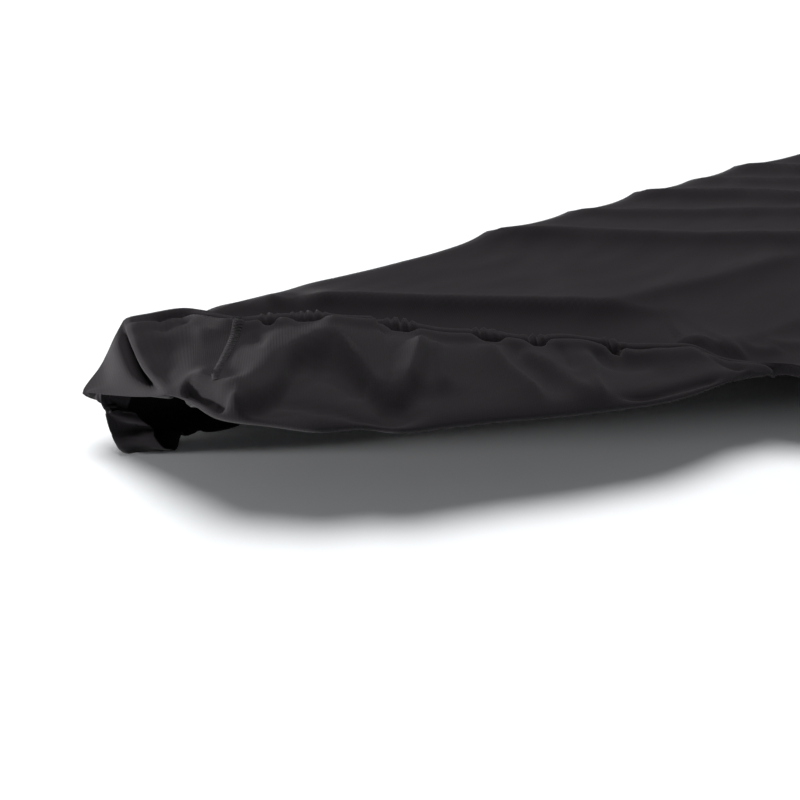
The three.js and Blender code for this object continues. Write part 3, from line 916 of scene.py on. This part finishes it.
# A Mix node has sockets of the same name for every type of data. These are the ones for colours.
MIX_FIRST, MIX_SECOND, MIX_RESULT = 6, 7, 2
knit, shader = new_material("charcoal_knit_matt_polyester")
lay = add_node(knit, "ShaderNodeUVMap", {}, uv_map="flat_cut").outputs["UV"]
rib_lay = {"Vector": lay, "Scale": BAND_PERIOD / RIB_PITCH, "Distortion": 0.4}
ribs = add_node(knit, "ShaderNodeTexWave", rib_lay, bands_direction="X").outputs["Fac"]
course_lay = {"Vector": lay, "Scale": BAND_PERIOD / COURSE_PITCH}
courses = add_node(knit, "ShaderNodeTexWave", course_lay, bands_direction="Y").outputs["Fac"]
loops = add_node(knit, "ShaderNodeMath", {0: ribs, 1: courses}, operation="ADD").outputs[0]
dye_lay = {"Vector": lay, "Scale": 1 / DYE_PATCH, "Detail": 4}
dye = add_node(knit, "ShaderNodeTexNoise", dye_lay).outputs["Fac"]
dye_tones = {"Factor": dye, MIX_FIRST: linear("#1c191c"), MIX_SECOND: linear("#231f22")}
dyed = add_node(knit, "ShaderNodeMix", dye_tones, data_type="RGBA").outputs[MIX_RESULT]
# Painted shade in the valleys between loops and a painted highlight on their crests, from the same loop
# heights as the bump.
painted_loop_shade_range = {"Value": loops, "From Max": 2, "To Min": 0.86, "To Max": 1.08}
painted_loop_shade = add_node(knit, "ShaderNodeMapRange", painted_loop_shade_range).outputs[0]
dye_and_painted_loop_shade = add_node(knit, "ShaderNodeHueSaturation", {"Color": dyed, "Value": painted_loop_shade}).outputs[0]
relief = {"Height": loops, "Strength": 0.25, "Distance": 0.0002}
bump = add_node(knit, "ShaderNodeBump", relief).outputs[0]
fuzz = {"Value": dye, "To Min": 0.86, "To Max": 0.96}
rough = add_node(knit, "ShaderNodeMapRange", fuzz).outputs[0]
for name, socket in [("Base Color", dye_and_painted_loop_shade), ("Normal", bump), ("Roughness", rough)]:
    knit.node_tree.links.new(socket, shader.inputs[name])
shader.inputs["IOR"].default_value = 1.53
shader.inputs["Specular IOR Level"].default_value = 0.15
shader.inputs["Sheen Weight"].default_value = 0.05
shader.inputs["Sheen Roughness"].default_value = 0.5
for piece_mesh in (mesh, strip_mesh):
    piece_mesh.materials.append(knit)
print(knit.name, "has", len(knit.node_tree.nodes), "nodes")

# %% [markdown]
# ## The thread
# Sewing thread is two or three twisted plies of polyester. Dark and light bands on a slant make the twist,
# which is all that can be seen of it from here. The dark bands are painted shade in its grooves, and the
# light ones are a painted glint on each ply.

# %% Thread
# Twisted polyester thread, dyed to match: rounder and smoother than the knit, so it glints a little.
# The real twist repeats every 0.8 mm, drawn at 1.2 mm so that it shows.
TWIST_PITCH = 0.0012
thread, shader = new_material("sewing_thread_twisted_polyester")
place = add_node(thread, "ShaderNodeTexCoord", {}).outputs["Object"]
twist_lay = {"Vector": place, "Scale": BAND_PERIOD / TWIST_PITCH, "Distortion": 1}
twist = add_node(thread, "ShaderNodeTexWave", twist_lay, bands_direction="DIAGONAL").outputs["Fac"]
# Dark bands are painted shade in the grooves of the twist, and light bands are a painted glint on each ply.
twist_shade_and_glint_tones = {"Factor": twist, MIX_FIRST: linear("#090809"), MIX_SECOND: linear("#2a252a")}
painted_twist_shade_and_glint = add_node(thread, "ShaderNodeMix", twist_shade_and_glint_tones, data_type="RGBA").outputs[MIX_RESULT]
thread.node_tree.links.new(painted_twist_shade_and_glint, shader.inputs["Base Color"])
shader.inputs["IOR"].default_value = 1.57
shader.inputs["Roughness"].default_value = 0.6
shader.inputs["Specular IOR Level"].default_value = 0.2
for piece in (overlock, hem_thread):
    piece.data.materials.append(thread)
print(thread.name, "has", len(thread.node_tree.nodes), "nodes")

# %% [markdown]
# ## The flat cut as a map
# A knit's ribs follow the flat cut, not the folds. So the map holds each point where it lay on the flat
# cloth: a skirt point lies straight out from its edge by the distance to it over the cloth.

# %% Map of the flat cut
SIDES = [
    (0, right_ring, (0, -1)),
    (right_ring, back_ring, (1, 0)),
    (back_ring, left_ring, (0, 1)),
    (left_ring, station_count, (-1, 0)),
]
side_out = np.zeros((station_count, 1, 2))
for first, last, out in SIDES:
    side_out[first:last] = out
top_edge = skirt[:, :1, :2]
from_edge = (from_hem[:, :1] - from_hem)[..., None]
flat_here = top_edge + side_out * from_edge
flat_next = np.roll(top_edge, -1, axis=0) + side_out * np.roll(from_edge, -1, axis=0)
skirt_map = np.stack([flat_here[:, :-1], flat_here[:, 1:], flat_next[:, 1:], flat_next[:, :-1]], axis=2)
panel_map = np.concatenate([vertices[face, :2] for face in faces[:COLUMNS * ROWS]])
cover_map = np.concatenate([panel_map.ravel(), skirt_map.ravel()]) / MM_PER_M
mesh.uv_layers.new(name="flat_cut").data.foreach_set("uv", cover_map)
strip_map = strip.reshape(-1, 3)[np.ravel(strip_faces), :2].ravel() / MM_PER_M
strip_mesh.uv_layers.new(name="flat_cut").data.foreach_set("uv", strip_map)
flat_length, flat_width = np.ptp(flat_here, axis=(0, 1)) / MM_PER_M
print("the flat cut is", flat_length.round(3), "by", flat_width.round(3), "m")

# %% [markdown]
# ## The floor
# The cover stands on a plain white floor, which runs past the view on all sides. It throws light back up on
# the lower cloth and takes the soft shadow, and one flat face is enough for both.

# %% Floor
# Flat white emulsion put on with a roller: matt and bright, with faint patches where the strokes overlap.
# A roller's marks are about 40 mm apart, and show little at any size.
FLOOR_HEIGHT = -8
FLOOR_REACH = 6
FLOOR_CORNERS = [(-1, -1), (1, -1), (1, 1), (-1, 1)]
ROLLER_MARK = 0.04
level = to_frame([0, 0, FLOOR_HEIGHT])[2]
floor_points = [(FLOOR_REACH * x, FLOOR_REACH * y, level) for x, y in FLOOR_CORNERS]
floor_mesh = bpy.data.meshes.new("floor")
floor_mesh.from_pydata(floor_points, [], [(0, 1, 2, 3)])
floor = bpy.data.objects.new("floor", floor_mesh)
bpy.context.collection.objects.link(floor)
paint, shader = new_material("floor_matt_white_rolled_paint")
place = add_node(paint, "ShaderNodeTexCoord", {}).outputs["Object"]
roller_lay = {"Vector": place, "Scale": 1 / ROLLER_MARK}
patches = add_node(paint, "ShaderNodeTexNoise", roller_lay).outputs["Fac"]
coat_tones = {"Factor": patches, MIX_FIRST: linear("#f3f5f7"), MIX_SECOND: linear("#f8fafc")}
coat = add_node(paint, "ShaderNodeMix", coat_tones, data_type="RGBA").outputs[MIX_RESULT]
paint.node_tree.links.new(coat, shader.inputs["Base Color"])
shader.inputs["IOR"].default_value = 1.5
shader.inputs["Roughness"].default_value = 0.9
floor_mesh.materials.append(paint)
print("floor at", level, "m")

# %% [markdown]
# ## The light
# Black cloth shows its folds only by how their slopes face the light, so a few lights well apart do more
# than many. A large softbox overhead lights the top and the flap, a weak one behind on the right lifts the
# slopes that face it, and a small one low on the left reaches little but the facet at the left tip.

# %% World and softboxes
WORLD_STRENGTH = 0.1
scene = bpy.context.scene
scene.view_settings.view_transform = "Standard"
world = bpy.data.worlds.new("studio")
scene.world = world
world.use_nodes = True
background = world.node_tree.nodes["Background"]
background.inputs["Color"].default_value = linear("#f8fafc")
background.inputs["Strength"].default_value = WORLD_STRENGTH


def softbox(name, toward, distance, size, energy):
    """A round soft light that faces the middle of the object."""
    data = bpy.data.lights.new(name, "AREA")
    data.shape = "DISK"
    data.size = size
    data.energy = energy
    lamp = bpy.data.objects.new(name, data)
    direction = Vector(toward).normalized()
    lamp.location = distance * direction
    lamp.rotation_euler = direction.to_track_quat("Z", "Y").to_euler()
    bpy.context.collection.objects.link(lamp)
    print(name, "of", energy, "W,", distance, "m away")


softbox("overhead_softbox", (0, 0.2, 0.98), 5, 3, 270)
softbox("rear_right_softbox", (0.5, 0.7, 0.5), 5, 3, 35)
softbox("low_left_softbox", (-0.9, 0.43, 0.015), 3, 0.4, 165)

# %% [markdown]
# ## The camera
# The camera stands in front of the left end, half a metre above the floor, and looks down along the cover.
# Its place, angles and lens were worked out from straight edges of known length.

# %% Camera
CAMERA_PLACE = (-221.4, -437.7, 472.5)
LENS = 50.94
SENSOR_WIDTH = 36
azimuth, elevation = np.radians(-32.49), np.radians(31.71)
backward = Vector((
    np.sin(azimuth) * np.cos(elevation),
    -np.cos(azimuth) * np.cos(elevation),
    np.sin(elevation),
))
camera_data = bpy.data.cameras.new("camera")
camera_data.lens = LENS
camera_data.sensor_width = SENSOR_WIDTH
camera = bpy.data.objects.new("camera", camera_data)
camera.location = to_frame(CAMERA_PLACE)
camera.rotation_euler = backward.to_track_quat("Z", "Y").to_euler()
bpy.context.collection.objects.link(camera)
scene.camera = camera
print("camera at, m:", [round(value, 3) for value in camera.location])
